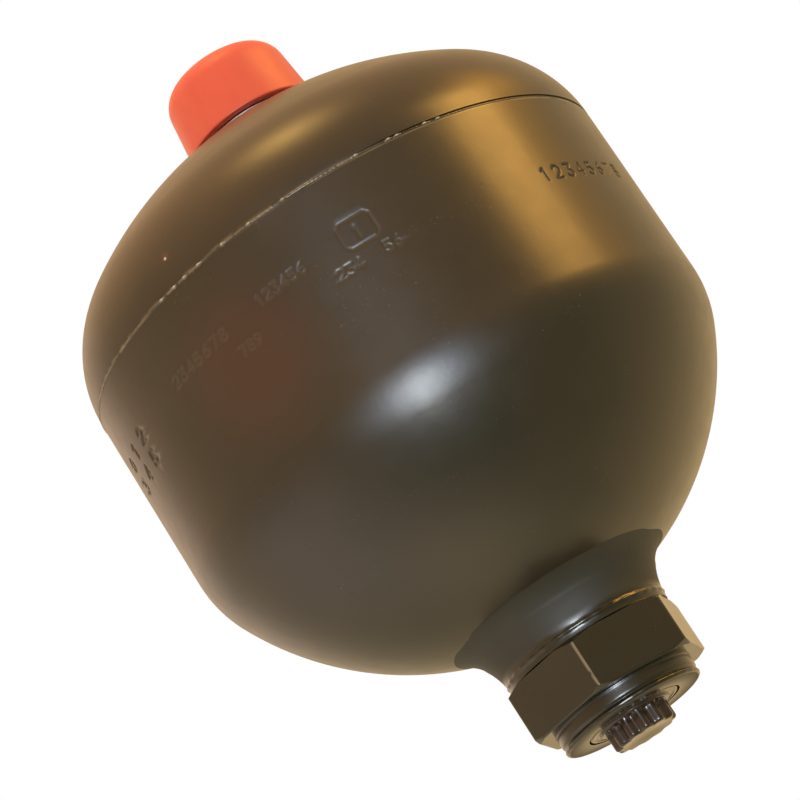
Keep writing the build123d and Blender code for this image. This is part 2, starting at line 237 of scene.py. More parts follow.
def operator(operation: str, swapped: bool = False) -> Callable[["Value", Any], "Value"]:
    """Method that adds the Math node of an operation on a value and another one.

    Args:
        operation: the Math node's operation.
        swapped: whether the other one comes first.

    Returns:
        The method.
    """
    def method(self: "Value", other: Any) -> "Value":
        """The operation's result."""
        return self.math(operation, *((other, self) if swapped else (self, other)))
    return method


class Value:
    """A node's output in an expression; each operator adds the Math node that works it out."""

    def __init__(self, shader: "Shader", socket: bpy.types.NodeSocket) -> None:
        """Wraps one output socket of a shader's tree."""
        self.shader, self.socket = shader, socket

    def math(self, operation: str, *values: Any) -> "Value":
        """Adds a Math node for an operation on the given values."""
        return self.shader.node("ShaderNodeMath", {"operation": operation}, dict(enumerate(values)))

    __add__, __radd__ = operator("ADD"), operator("ADD", True)
    __sub__, __rsub__ = operator("SUBTRACT"), operator("SUBTRACT", True)
    __mul__, __rmul__ = operator("MULTIPLY"), operator("MULTIPLY", True)

    def __abs__(self) -> "Value":
        """Size without its sign."""
        return self.math("ABSOLUTE", self)

    def exp(self) -> "Value":
        """The number e raised to this value."""
        return self.math("EXPONENT", self)

    def ramp(self, low: float, high: float) -> "Value":
        """Goes smoothly from 0 at low to 1 at high, and stays between them.

        Args:
            low: value that gives 0.
            high: value that gives 1, which may be the smaller one.

        Returns:
            The eased value.
        """
        if high < low:
            return 1 - self.ramp(high, low)
        settings = {"interpolation_type": "SMOOTHSTEP"}
        return self.shader.node("ShaderNodeMapRange", settings, {0: self, 1: low, 2: high})


class Shader:
    """One node tree; adds nodes, links what they read and gives back their outputs."""

    def __init__(self, tree: bpy.types.NodeTree) -> None:
        """Empties the tree and starts afresh."""
        self.tree = tree
        tree.nodes.clear()

    def node(self, kind: str, settings: dict[str, Any] | None = None,
             inputs: dict[Any, Any] | None = None, output: str | int = 0) -> Value:
        """Adds a node, sets it up and feeds its sockets.

        Args:
            kind: the node's type.
            settings: its properties.
            inputs: a value or another node's output for each socket, by name or number.
            output: the output to give back, by name or number.

        Returns:
            That output.
        """
        made = self.tree.nodes.new(kind)
        for key, setting in (settings or {}).items():
            setattr(made, key, setting)
        for key, value in (inputs or {}).items():
            socket = made.inputs[key]
            if isinstance(value, Value):
                self.tree.links.new(value.socket, socket)
            elif isinstance(value, tuple) and socket.type == "RGBA":
                socket.default_value = (*value, 1.0)[:4]
            else:
                socket.default_value = value
        return Value(self, made.outputs[output] if len(made.outputs) else None)

    def point(self) -> Value:
        """The place on the piece, in metres."""
        return self.node("ShaderNodeTexCoord", output="Object")

    def axis(self, point: Value, name: str) -> Value:
        """One coordinate of a point, X, Y or Z."""
        return self.node("ShaderNodeSeparateXYZ", {}, {0: point}, name)

    def attribute(self, name: str) -> Value:
        """A named value of the mesh, 0 where the piece has none."""
        return self.node("ShaderNodeAttribute", {"attribute_name": name}, {}, "Fac")

    def noise(self, point: Value, size: float, detail: float = 2.0,
              stretch: Colour = (1.0, 1.0, 1.0)) -> Value:
        """Cloudy noise between 0 and 1.

        Args:
            point: where it is read.
            size: size of its clouds in millimetres.
            detail: octaves of finer noise.
            stretch: how much finer it is along each axis.

        Returns:
            The noise's value.
        """
        moved = self.node("ShaderNodeMapping", {}, {"Vector": point, "Scale": stretch})
        inputs = {"Vector": moved, "Scale": 1 / (size * MM), "Detail": detail}
        return self.node("ShaderNodeTexNoise", {}, inputs)

    def mix(self, share: Any, first: Any, second: Any) -> Value:
        """Colour between two colours; a share of 0 gives the first one."""
        inputs = {0: share, 6: first, 7: second}
        return self.node("ShaderNodeMix", {"data_type": "RGBA"}, inputs, 2)

    def vector(self, operation: str, *values: Any, output: int = 0) -> Value:
        """Vector Math on the given vectors; its output 1 is the number, as of a dot product."""
        inputs = dict(enumerate(values))
        return self.node("ShaderNodeVectorMath", {"operation": operation}, inputs, output)

    def scaled(self, colour: Colour, share: Value) -> Value:
        """A colour times a number."""
        inputs = {0: colour, "Scale": share}
        return self.node("ShaderNodeVectorMath", {"operation": "SCALE"}, inputs)

    def bump(self, height: Value, depth: float) -> Value:
        """Normal that a height field of 0 to 1 gives, depth in millimetres."""
        inputs = {"Height": height, "Distance": depth * MM, "Strength": 1.0}
        return self.node("ShaderNodeBump", {}, inputs)

    def surface(self, **sockets: Any) -> None:
        """Ends the tree in a Principled surface; an underscore in a socket's name is a space."""
        shader = self.node("ShaderNodeBsdfPrincipled", {}, {
            key.replace("_", " "): value for key, value in sockets.items()})
        self.node("ShaderNodeOutputMaterial", {}, {"Surface": shader})


def new_material(name: str) -> tuple[Material, Shader, Value]:
    """Starts a material with an empty node tree.

    Args:
        name: its name.

    Returns:
        The material, the shader that fills it and the place on the piece.
    """
    material = bpy.data.materials.new(name)
    material.use_nodes = True
    shader = Shader(material.node_tree)
    return material, shader, shader.point()


# ---- Finishes ----


@dataclass(frozen=True)
class Mark:
    """A small stain, chip or bare speck: a soft round spot of another colour.

    place is its centre, core the radius of full colour and reach where it fades out. One broad
    reddish spot on the band is a painted reflection of a red object, not a stain.
    """

    place: Colour
    core: float
    reach: float
    colour: Colour
    share: float

    def spread(self, s: Shader, point: Value) -> Value:
        """Share of the mark's colour at a point, from its distance to the centre."""
        away = s.vector("DISTANCE", point, tuple(value * MM for value in self.place), output=1)
        return away.ramp(self.reach * MM, self.core * MM) * self.share


@dataclass(frozen=True)
class SatinPaint:
    """Dark olive-black vessel paint over primer, sprayed, with orange peel, dust and worn edges.

    It reads mesh attributes: one holds dust in punched digits, and another paints shade, darkening
    the other punched digits and the port's end face nearly to black; one dulls overspray; one tints
    worn edges with primer, which on the seam's filled face and the hexagon's front corner is partly
    a painted highlight; one tints spatter beads bright cream, partly bare metal and partly a painted
    glint.
    """

    name: str = "satin_black_paint"
    thin: Colour = (0.031, 0.024, 0.013)
    thick: Colour = (0.021, 0.018, 0.010)
    dust: Colour = (0.16, 0.135, 0.10)
    primer_and_highlight: Colour = (0.30, 0.22, 0.13)
    pit: Colour = (0.008, 0.006, 0.004)
    bare: Colour = (0.66, 0.60, 0.46)
    roughness: float = 0.30
    peel: float = 0.012
    flecks: float = 0.5
    dust_in_marks: float = 0.14
    edge_wear_and_glint: float = 0.8
    dull_gain: float = 0.42
    pit_gain: float = 0.4
    seam_z: float = 124.0
    upper_lip: float = 0.45
    lower_lip: float = -0.55
    spots_and_reflection: tuple[Mark, ...] = (
        # Painted reflection: this broad reddish spot on the band's near side stands in for a red
        # object's reflection, not a stain.
        Mark((-20.5, -64.8, 99.0), 7.0, 24.0, (0.070, 0.026, 0.017), 0.62),
        Mark((-23.8, -62.9, 131.1), 0.4, 1.6, (0.10, 0.032, 0.018), 0.8),
        Mark((-24.0, -62.9, 130.75), 0.2, 0.5, (0.66, 0.55, 0.47), 1.0),
        Mark((42.7, 1.4, 40.2), 0.3, 0.8, (0.006, 0.005, 0.004), 0.9),
    )

    def material(self) -> Material:
        """Builds the paint.

        Returns:
            The material.
        """
        material, s, p = new_material(self.name)
        # Painted shade: this attribute darkens punched digits without dust and the port's end face
        # nearly to black, and also roughens them.
        pit = s.attribute("pit")
        cloud = s.noise(p, 34.0, 3.0).ramp(0.35, 0.65)
        fleck = s.noise(p, 0.55, 1.0).ramp(0.70, 0.76) * s.noise(p, 9.0).ramp(0.45, 0.7)
        z = s.axis(p, "Z")
        # Primer tint on the seam's lips: partly worn primer and partly a painted highlight; the
        # upper lip gets it on the -X side, where light catches the filled seam, the lower lip on the
        # other side.
        worn_and_lit_side = s.axis(p, "X").ramp(0.030, -0.020)
        broken = s.noise(p, 3.4, 2.0).ramp(0.44, 0.58) * 0.3
        lip = abs(z - (self.seam_z + self.upper_lip) * MM).ramp(0.45 * MM, 0.15 * MM)
        low_lip_highlight = abs(z - (self.seam_z + self.lower_lip) * MM).ramp(0.35 * MM, 0.05 * MM)
        patchy = s.noise(p, 8.0).ramp(0.3, 0.6) * 0.5
        lip_wear_and_highlight = lip * broken * worn_and_lit_side + low_lip_highlight * patchy * (1 - worn_and_lit_side)
        # Primer tint on marked edges: wear, and a painted highlight on the seam's filled face and
        # the hexagon's front corner.
        wear_and_glint = s.attribute("edge") * s.noise(p, 1.6, 1.0).ramp(0.25, 0.5) * self.edge_wear_and_glint
        colour = s.mix(cloud, self.thin, self.thick)
        layers = [(mark.spread(s, p), mark.colour) for mark in self.spots_and_reflection]
        layers += [
            (s.attribute("recess") * self.dust_in_marks, self.dust), (pit, self.pit),
            (fleck * self.flecks, self.dust), (lip_wear_and_highlight, self.primer_and_highlight), (wear_and_glint, self.primer_and_highlight),
            # Bright cream on spatter beads: partly bare metal and partly a painted glint.
            (s.attribute("bare"), self.bare)]
        for share, tint in layers:
            colour = s.mix(share, colour, tint)
        roughness = self.roughness + (s.noise(p, 5.0, 4.0) - 0.5) * 0.10 + fleck * 0.15
        roughness = roughness + s.attribute("dull") * self.dull_gain + pit * self.pit_gain
        peel = s.noise(p, 1.3, 2.0) + s.noise(p, 0.3, 0.0) * 0.15
        s.surface(Base_Color=colour, Roughness=roughness, Normal=s.bump(peel, self.peel), IOR=1.52)
        return material


@dataclass(frozen=True)
class MouldedPlastic:
    """Injection-moulded plastic with faint flow marks and a fine eroded grain."""

    name: str
    colour: Colour
    shade: Colour
    roughness: float
    grain: float = 0.006
    grain_size: float = 0.35

    def material(self) -> Material:
        """Builds the plastic.

        Returns:
            The material.
        """
        material, s, p = new_material(self.name)
        flow = s.noise(p, 7.0, 3.0, (1.0, 1.0, 0.35)).ramp(0.35, 0.7)
        scuff = s.noise(p, 0.9, 2.0, (1.0, 1.0, 0.2)).ramp(0.62, 0.72)
        scuff = scuff * s.noise(p, 6.0).ramp(0.45, 0.65)
        s.surface(Base_Color=s.mix(flow * 0.6, self.colour, self.shade),
                  Roughness=self.roughness + (flow - 0.5) * 0.08 + scuff * 0.18,
                  Normal=s.bump(s.noise(p, self.grain_size, 1.0), self.grain))
        return material


@dataclass(frozen=True)
class TurnedSteel:
    """Turned steel with fine tool lines round the axis, bare or zinc plated."""

    name: str
    colour: Colour
    stain: Colour
    roughness: float
    line_size: float = 2.64

    def material(self) -> Material:
        """Builds the steel.

        Returns:
            The material.
        """
        material, s, p = new_material(self.name)
        cloud = s.noise(p, 6.0, 4.0).ramp(0.4, 0.68)
        lines = s.noise(p, self.line_size, 1.0, (0.08, 0.08, 12.0))
        s.surface(Base_Color=s.mix(cloud * 0.7, self.colour, self.stain), Metallic=1.0,
                  Roughness=self.roughness + cloud * 0.12 + (lines - 0.5) * 0.12,
                  Normal=s.bump(lines, 0.01))
        return material


@dataclass(frozen=True)
class Rubber:
    """Moulded nitrile rubber with a dull bloom."""

    name: str
    colour: Colour = (0.018, 0.018, 0.018)
    bloom: Colour = (0.06, 0.058, 0.052)
    roughness: float = 0.55

    def material(self) -> Material:
        """Builds the rubber.

        Returns:
            The material.
        """
        material, s, p = new_material(self.name)
        bloom = s.noise(p, 14.0, 4.0).ramp(0.45, 0.75)
        s.surface(Base_Color=s.mix(bloom * 0.5, self.colour, self.bloom),
                  Roughness=self.roughness + bloom * 0.15,
                  Normal=s.bump(s.noise(p, 0.5, 2.0), 0.02))
        return material


@dataclass(frozen=True)
class Finishes:
    """Every finish of the object, built once."""

    paint: Material
    fitting_paint: Material
    cap: Material
    plug: Material
    zinc: Material
    inner: Material
    bladder: Material
    seal: Material

    @classmethod
    def build(cls) -> "Finishes":
        """Builds all the materials.

        Returns:
            The set of finishes.
        """
        kinds = {
            "paint": SatinPaint(),
            "fitting_paint": SatinPaint(
                "gloss_black_paint", (0.022, 0.021, 0.011), (0.015, 0.015, 0.008),
                roughness=0.2, peel=0.016, flecks=0.12, spots_and_reflection=()),
            "cap": MouldedPlastic("red_plastic", (1.0, 0.13, 0.058), (0.92, 0.10, 0.045), 0.42),
            "plug": MouldedPlastic(
                "black_plastic", (0.036, 0.023, 0.019), (0.024, 0.017, 0.014), 0.16),
            "zinc": TurnedSteel("zinc_plated_steel", (0.56, 0.56, 0.54), (0.42, 0.41, 0.38), 0.30),
            "inner": TurnedSteel("bare_steel", (0.42, 0.42, 0.43), (0.26, 0.24, 0.22), 0.38),
            "bladder": Rubber("nitrile_bladder"),
            "seal": Rubber("nitrile_seal", roughness=0.42),
        }
        return cls(**{name: kind.material() for name, kind in kinds.items()})


# ---- Punch marks ----


STROKES: dict[str, tuple[tuple[float, float], ...]] = {
    "0": ((.5, 1), (.85, .85), (1, .5), (.85, .15), (.5, 0), (.15, .15), (0, .5), (.15, .85),
          (.5, 1)),
    "1": ((.2, .8), (.6, 1), (.6, 0)),
    "2": ((0, .8), (.25, 1), (.75, 1), (1, .75), (.9, .5), (0, 0), (1, 0)),
    "3": ((0, 1), (1, 1), (.45, .6), (.85, .5), (1, .25), (.75, 0), (.25, 0), (0, .15)),
    "4": ((.75, 0), (.75, 1), (0, .3), (1, .3)),
    "5": ((.95, 1), (.1, 1), (.05, .55), (.6, .62), (1, .35), (.8, .05), (.3, 0), (0, .12)),
    "6": ((.8, 1), (.3, .75), (.05, .35), (.25, .02), (.75, .02), (1, .3), (.75, .55), (.2, .5)),
    "7": ((0, 1), (1, 1), (.35, 0)),
    "8": ((.5, .55), (.1, .75), (.25, 1), (.75, 1), (.9, .75), (.5, .55), (.0, .3), (.2, 0),
          (.8, 0), (1, .3), (.5, .55)),
    "9": ((.8, .5), (.25, .45), (0, .7), (.25, .98), (.75, .98), (.95, .65), (.7, .25), (.2, 0)),
    "box": ((.12, 0), (.88, 0), (1, .15), (1, .85), (.88, 1), (.12, 1), (0, .85), (0, .15),
            (.12, 0)),
}


@dataclass(frozen=True)
class PunchRow:
    """A row of plain digits punched along the band.

    start is the distance of its first digit round the band from the +X side, foot the height of
    its lower edge and step the spacing of the mesh. Dusty rows hold dust; in the others painted
    shade darkens the strokes.
    """

    digits: tuple[str, ...]
    start: float
    foot: float
    height: float = 2.4
    width: float = 1.55
    pitch: float = 2.3
    depth: float = 0.12
    stroke: float = 0.30
    step: float = 0.3
    dusty: bool = True

    @property
    def end(self) -> float:
        """Distance round the band where the last digit ends."""
        return self.start + self.pitch * (len(self.digits) - 1) + self.width

    def segments(self) -> tuple[Array, Array]:
        """Start points and end points of every straight stroke, laid out on the unrolled band."""
        corners = [np.array(STROKES[digit]) * (self.width, self.height)
                   + (self.start + self.pitch * count, self.foot)
                   for count, digit in enumerate(self.digits)]
        return np.concatenate([c[:-1] for c in corners]), np.concatenate([c[1:] for c in corners])

    def pressed(self, along: Array, height: Array) -> Array:
        """How deep the row is pressed in at each point: 1 in the middle of a stroke, 0 outside.

        The nearest distance d to a stroke gives t = 1 - d / (2 stroke), eased as t t (3 - 2 t).

        Args:
            along: distance of the points round the band.
            height: their height.

        Returns:
            The share of the depth at each point.
        """
        start, end = self.segments()
        near = (along > self.start - 1) & (along < self.end + 1)
        near &= (height > self.foot - 1) & (height < self.foot + self.height + 1)
        point = np.stack([along[near], height[near]], 1)[:, None]
        run = end - start
        share = eased(((point - start) * run).sum(2) / (run ** 2).sum(1))[..., None]
        distance = np.linalg.norm(point - start - share * run, axis=2).min(1)
        level = eased(1 - distance / (2 * self.stroke))
        result = np.zeros(along.shape)
        result[near] = level * level * (3 - 2 * level)
        return result


# ---- Vessel ----


@dataclass(frozen=True)
class Head:
    """A torispherical head: a knuckle arc that runs tangent into a crown arc on the axis.

    side is +1 for a head that closes upwards and -1 for one that closes downwards.
    """

    body: float
    knuckle: float
    depth: float
    start_z: float
    side: int

    @property
    def crown(self) -> float:
        """Crown radius that makes both arcs tangent."""
        square = self.depth ** 2 + self.body ** 2 - 2 * self.body * self.knuckle
        return square / (2 * (self.depth - self.knuckle))

    @property
    def centre(self) -> float:
        """Height of the crown arc's centre."""
        return self.start_z + self.side * (self.depth - self.crown)

    def height(self, radius: float | Array, wall: float = 0.0) -> float | Array:
        """Height of the crown at a radius, for the skin or for the inside of its wall."""
        return self.centre + self.side * np.sqrt((self.crown - wall) ** 2 - radius ** 2)

    def seat(self, first: float, last: float, count: int = 6) -> Array:
        """Profile of the crown's skin between two radii."""
        radii = np.linspace(first, last, count)
        return np.stack([radii, self.height(radii)], 1)

    def run(self, hole: float, wall: float = 0.0, steps: tuple[int, int] = (36, 36)) -> Array:
        """Profile from the straight band to the hole in the crown, moved inwards by the wall.

        The knuckle's angle goes from 0 to the lean of the line through both centres, and the
        crown's from there to the angle whose cosine is hole / crown.

        Args:
            hole: radius of the hole.
            wall: distance inside the skin.
            steps: steps along the knuckle and along the crown.

        Returns:
            The profile's points.
        """
        lean = math.atan2(self.crown - self.depth, self.body - self.knuckle)
        last = math.acos(hole / (self.crown - wall))
        knuckle = arc((self.body - self.knuckle, 0), self.knuckle - wall, 0, lean, steps[0])
        crown = arc((0, 0), self.crown - wall, lean, last, steps[1])
        flip = (1, self.side)
        return chain(knuckle * flip + (0, self.start_z), crown * flip + (0, self.centre))


def waviness(angle: Array, height: Array, last: int) -> Array:
    """Slight waviness of drawn sheet: two long sines of the angle and the height.

    Args:
        angle: angles of the points.
        height: their heights.
        last: the row from which on there is none, as in the first row.

    Returns:
        How far each point moves outwards.
    """
    wave = 0.02 * np.sin(5 * angle + 0.06 * height)
    wave += 0.015 * np.sin(9 * angle - 0.11 * height + 1.3)
    wave[0] = wave[last:] = 0
    return wave


@dataclass
class Vessel:
    """The welded shell: a deep lower cup, a shallow upper dome and the seam between them.

    beads are the angles of the seam's spatter beads, in degrees.
    """

    finishes: Finishes
    radius: float = 68.0
    wall: float = 6.0
    band_bottom: float = 79.3
    seam_z: float = 124.0
    seam_half: float = 0.42
    seam_depth: float = 4.0
    seam_sink: float = 0.35
    land: float = 0.5
    full_side: float = -130.0
    ripple: float = 1.1
    ripple_depth: float = 0.10
    bead_size: float = 0.6
    bead_rise: float = 0.5
    beads: tuple[float, ...] = (
        -116.0, -112.1, -109.1, -105.3, -99.2, -93.0, -85.3, -69.7, -62.6, -60.7, -54.5, -51.5)
    ledge_z: float = 104.0
    counterbore: float = 63.5
    port_hole: float = 21.8
    boss_hole: float = 11.0
    skin_steps: tuple[int, int] = (24, 30)
    lining_steps: tuple[int, int] = (10, 10)
    rows: tuple[PunchRow, ...] = (
        PunchRow(tuple("12345678"), -45.4, 101.4, 3.2, 2.1, 4.15, 0.26, 0.2, 0.18, False),
        PunchRow(("box",), -95.4, 105.6, 6.6, 8.2, 9.0, 0.12, 0.34),
        PunchRow(tuple("1"), -92.4, 107.0, 3.2, 1.6, 2.6, 0.12, 0.3),
        PunchRow(tuple("234"), -100.2, 100.9),
        PunchRow(tuple("56"), -88.4, 101.1),
        PunchRow(tuple("123456"), -118.2, 107.4),
        PunchRow(tuple("789"), -127.8, 100.9),
        PunchRow(tuple("2345678"), -147.8, 106.9, 2.6, 1.8, 2.95),
        PunchRow(tuple("012"), -186.2, 106.4, 3.2, 2.4, 7.9, 0.35, 0.4),
        PunchRow(tuple("345"), -186.2, 100.4, 3.2, 2.4, 7.9, 0.35, 0.4),
    )
    mark_step: float = 0.24
    mark_margin: float = 0.6
    plain_step: float = 3.0
    plain_margin: float = 0.9

    def __post_init__(self) -> None:
        """Works out both heads and the point at the bottom of the seam's V."""
        self.lower = Head(self.radius, 27.8, 53.1, self.band_bottom, -1)
        self.upper = Head(self.radius, 28.2, 42.1, self.seam_z + self.land, 1)
        self.tip = (self.radius - self.seam_depth, self.seam_z)

    def marked_turns(self) -> Array:
        """Angles round the lower cup, close together where digits are punched.

        Returns:
            The sorted angles in radians.
        """
        girth = TURN * self.radius
        plain = np.arange(-girth / 2, girth / 2, self.plain_step)
        margin, fine = self.mark_margin, []
        for row in self.rows:
            fine.append(np.arange(row.start - margin, row.end + margin, row.step))
            before = plain < row.start - self.plain_margin
            plain = plain[before | (plain > row.end + self.plain_margin)]
        places = np.sort(np.concatenate([plain, *fine]))
        return places[np.r_[True, np.diff(places) > 0.4 * self.mark_step]] / self.radius

    def marked_heights(self) -> Array:
        """Heights down the straight band, close together where digits are punched.

        Returns:
            Falling heights from the seam's lower edge to the bottom of the band.
        """
        low = min(row.foot for row in self.rows) - self.mark_margin
        high = max(row.foot + row.height for row in self.rows) + self.mark_margin
        return np.concatenate([
            np.linspace(self.seam_z - self.seam_half, high, 9, endpoint=False),
            np.linspace(high, low, int((high - low) / self.mark_step), endpoint=False),
            np.linspace(low, self.band_bottom, 12),
        ])

    def build_lower(self) -> None:
        """Makes the lower cup, with its digits pressed into the band."""
        heights = self.marked_heights()
        band = np.stack([np.full(len(heights), self.radius), heights], 1)
        profile = chain(
            self.tip, band, self.lower.run(self.port_hole, steps=self.skin_steps),
            self.lower.run(self.port_hole, self.wall, self.lining_steps)[::-1],
            (self.radius - self.wall, self.ledge_z), (self.counterbore, self.ledge_z),
            (self.counterbore, self.seam_z))
        turns = self.marked_turns()
        angle, radius, height = spread(profile, turns)
        outside = (radius > self.radius - TINY) & (height < self.seam_z)
        depth, recess, pit = np.zeros((3, *angle.shape))
        for row in self.rows:
            share = row.pressed(angle * self.radius, height) * outside
            np.maximum(depth, row.depth * share, out=depth)
            # Rows without dust get painted shade in their strokes instead.
            tint = recess if row.dusty else pit
            np.maximum(tint, share, out=tint)
        wave = waviness(angle, height, len(band) + sum(self.skin_steps) - 1)
        build_piece("lower_shell_skin", lathe(profile, turns, depth - wave), "lower_shell",
                    self.finishes.paint, recess=recess, pit=pit)

    def build_upper(self) -> None:
        """Makes the upper dome."""
        skin = chain((self.radius, self.seam_z + self.seam_half), self.upper.run(self.boss_hole))
        lining = self.upper.run(self.boss_hole, self.wall, self.lining_steps)[::-1]
        profile = chain(self.tip, skin, lining, (self.radius - self.wall, self.seam_z))
        turns = even_turns(360)
        angle, _, height = spread(profile, turns)
        points = lathe(profile, turns, waviness(angle, height, len(skin)))
        build_piece("upper_shell_skin", points, "upper_shell", self.finishes.paint)

    def build_seam(self) -> None:
        """Makes the ring weld: the V's face with overlapping ripples and a few spatter beads.

        On one side the V is filled flush and tinted primer colour, partly thin paint and partly a
        painted highlight; on the other it stays open.
        A ripple is a saw of the angle, bowed across the width.
        """
        outer = self.radius - self.seam_sink
        half = self.seam_half * (self.seam_depth - self.seam_sink) / self.seam_depth
        face = line((outer, self.seam_z - half), (outer, self.seam_z + half), 6)
        profile = chain(self.tip, face)
        turns = even_turns(1800)
        angle = spread(profile, turns)[0]
        bow = 1 - ((profile[:, 1:] - self.seam_z) / half) ** 2
        full = eased((np.cos(angle - math.radians(self.full_side)) - 0.35) / 0.2)
        spatter = np.zeros(angle.shape)
        for bead in self.beads:
            away = (angle - math.radians(bead) + math.pi) % TURN - math.pi
            spatter = np.maximum(spatter, bell(away * self.radius, self.bead_size) * bow)
        saw = (angle * self.radius / self.ripple + 0.35 * bow) % 1.0
        uneven = 0.5 + 0.5 * np.sin(23 * angle) * np.sin(7 * angle + 2)
        move = self.ripple_depth * bow * (saw + uneven)
        move += self.seam_sink * full + self.bead_rise * spatter
        move[0] = 0
        # Primer tint on the filled face, partly thin paint and partly a painted highlight.
        edge = full * (0.6 + 0.4 * np.sin(31 * angle) * np.sin(12 * angle + 1)) * bow
        # The spatter beads also get a bright cream tint, partly bare metal and partly a painted
        # glint.
        build_piece("seam_weld_bead", lathe(profile, turns, move), "seam_weld",
                    self.finishes.paint, edge=edge, bare=spatter ** 2)

    def build(self) -> None:
        """Builds the shell and its seam."""
        self.build_lower()
        self.build_upper()
        self.build_seam()


# ---- Port end ----


@dataclass
class Hexagon:
    """The wrench hexagon: flats across, corner rounding and the paint-softened edge of each flat.

    near_corner is the half angle in radians, at each corner, that the mesh divides finely.
    """

    flats: float = 41.0
    turn: float = 30.0
    corner_round: float = 1.1
    edge_round: float = 0.45
    bottom: float = 4.9
    top: float = 18.5
    bottom_face: float = 21.9
    top_face: float = 21.1
    chamfer: float = 30.0
    near_corner: float = 0.048
    side: float = math.pi / 3

    @property
    def corner(self) -> float:
        """Distance of the sharp corners from the axis."""
        return self.flats / math.sqrt(3)

    def outline(self, angle: Array) -> Array:
        """Distance of the rounded outline from the axis at each angle.

        On a flat it is (flats / 2) / cos b, for the angle b from the flat's middle. Within the
        corner's arc it is d cos c + sqrt(r^2 - d^2 sin^2 c), for the angle c from the corner, its
        round r and d = (flats / 2 - r) / cos 30.

        Args:
            angle: angles about the axis.

        Returns:
            The distances.
        """
        half, side, rounding = self.flats / 2, self.side, self.corner_round
        corner = (angle - math.radians(self.turn) + side / 2) % side - side / 2
        flat = half / np.cos(side / 2 - np.abs(corner))
        middle = (half - rounding) / math.cos(side / 2)
        reach = math.atan2(rounding * 0.5, middle + rounding * math.cos(side / 2))
        root = np.sqrt(np.maximum(rounding ** 2 - (middle * np.sin(corner)) ** 2, 0))
        return np.where(np.abs(corner) < reach, middle * np.cos(corner) + root, flat)

    def turns(self) -> Array:
        """Angles about the axis, close together at the rounded corners.

        Returns:
            The sorted angles in radians.
        """
        near = np.linspace(-self.near_corner, self.near_corner, 17)
        flat = np.linspace(self.near_corner, self.side - self.near_corner, 36)[1:-1]
        corners = math.radians(self.turn) + np.arange(6)[:, None] * self.side
        return (corners + np.r_[near, flat][None]).ravel()

    def drawn_in(self, height: Array) -> Array:
        """How far the flats draw in near their ends: r - sqrt(r^2 - (r - t)^2), t from the end."""
        r, end = self.edge_round, np.minimum(height - self.bottom, self.top - height)
        return r - np.sqrt(r * r - (r - np.clip(end, 0, r)) ** 2)

    def run(self, inner: float) -> Array:
        """Profile of the turned bar, whose chamfer cones run out past the corners.

        Args:
            inner: inner radius of its bottom face.

        Returns:
            (radius, height) points from the top face down to the bottom face.
        """
        over, slope = self.corner + 0.3, math.tan(math.radians(self.chamfer))
        low_end = (over, self.bottom + (over - self.bottom_face) * slope)
        high_end = (over, self.top - (over - self.top_face) * slope)
        low = line((self.bottom_face, self.bottom), low_end, 12)
        high = line(high_end, (self.top_face, self.top), 16)
        bar = chain(high[::-1], line(low[-1], high[0], 8)[::-1], low[::-1])
        ends = np.array((0.1, 0.3, 0.6, 1.0)) * self.edge_round
        cut = np.unique(np.r_[bar[:, 1], self.bottom + ends, self.top - ends])[::-1]
        bar = np.stack([np.interp(-cut, -bar[:, 1], bar[:, 0]), cut], 1)
        face = line((inner, self.bottom), (self.bottom_face, self.bottom), 4)
        return chain(bar, face[::-1])


